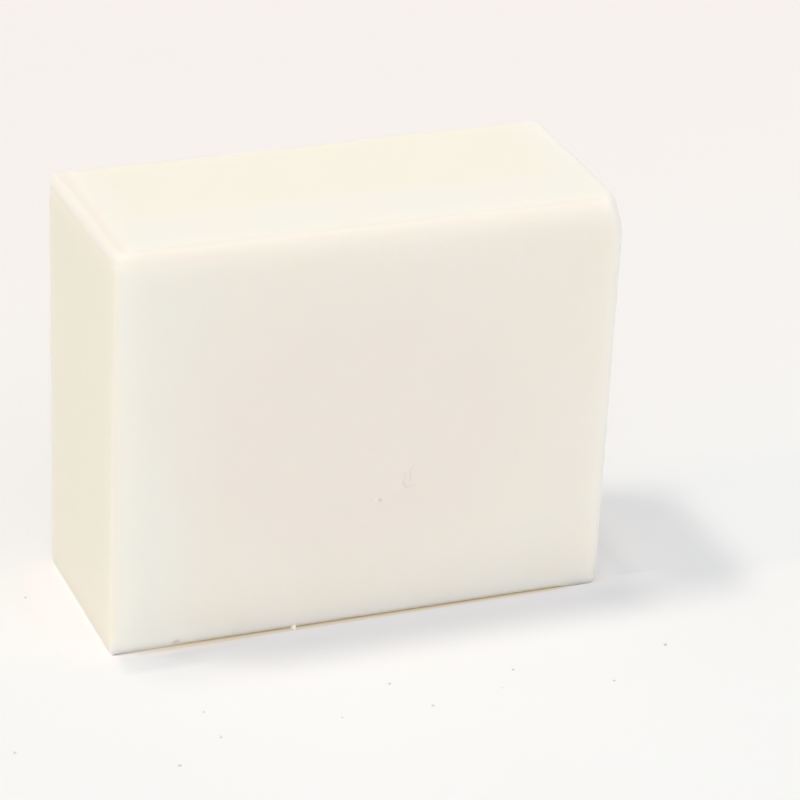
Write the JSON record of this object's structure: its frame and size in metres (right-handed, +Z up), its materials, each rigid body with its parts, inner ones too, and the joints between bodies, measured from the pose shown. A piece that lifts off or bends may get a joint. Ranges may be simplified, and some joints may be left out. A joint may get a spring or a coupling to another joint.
{
  "type": "gymnastics chalk block",
  "caption": "Rectangular block of pressed hand chalk with rounded edges, standing on a long narrow side; held and rubbed on the palms for a dry grip.",
  "frame": {"origin": "centre of the underside, the long narrow side the block stands on", "axes": "+X along the width, the longest side; +Y through the thickness towards the back face; +Z up the height"},
  "size_m": [0.06, 0.0252, 0.0488],
  "materials": {
    "chalk_ivory": "smooth, satin, slightly waxy and translucent ivory; edges pass light"
  },
  "bodies": {
    "root": {"chalk_block": "chalk_ivory"}
  },
  "joints": []
}
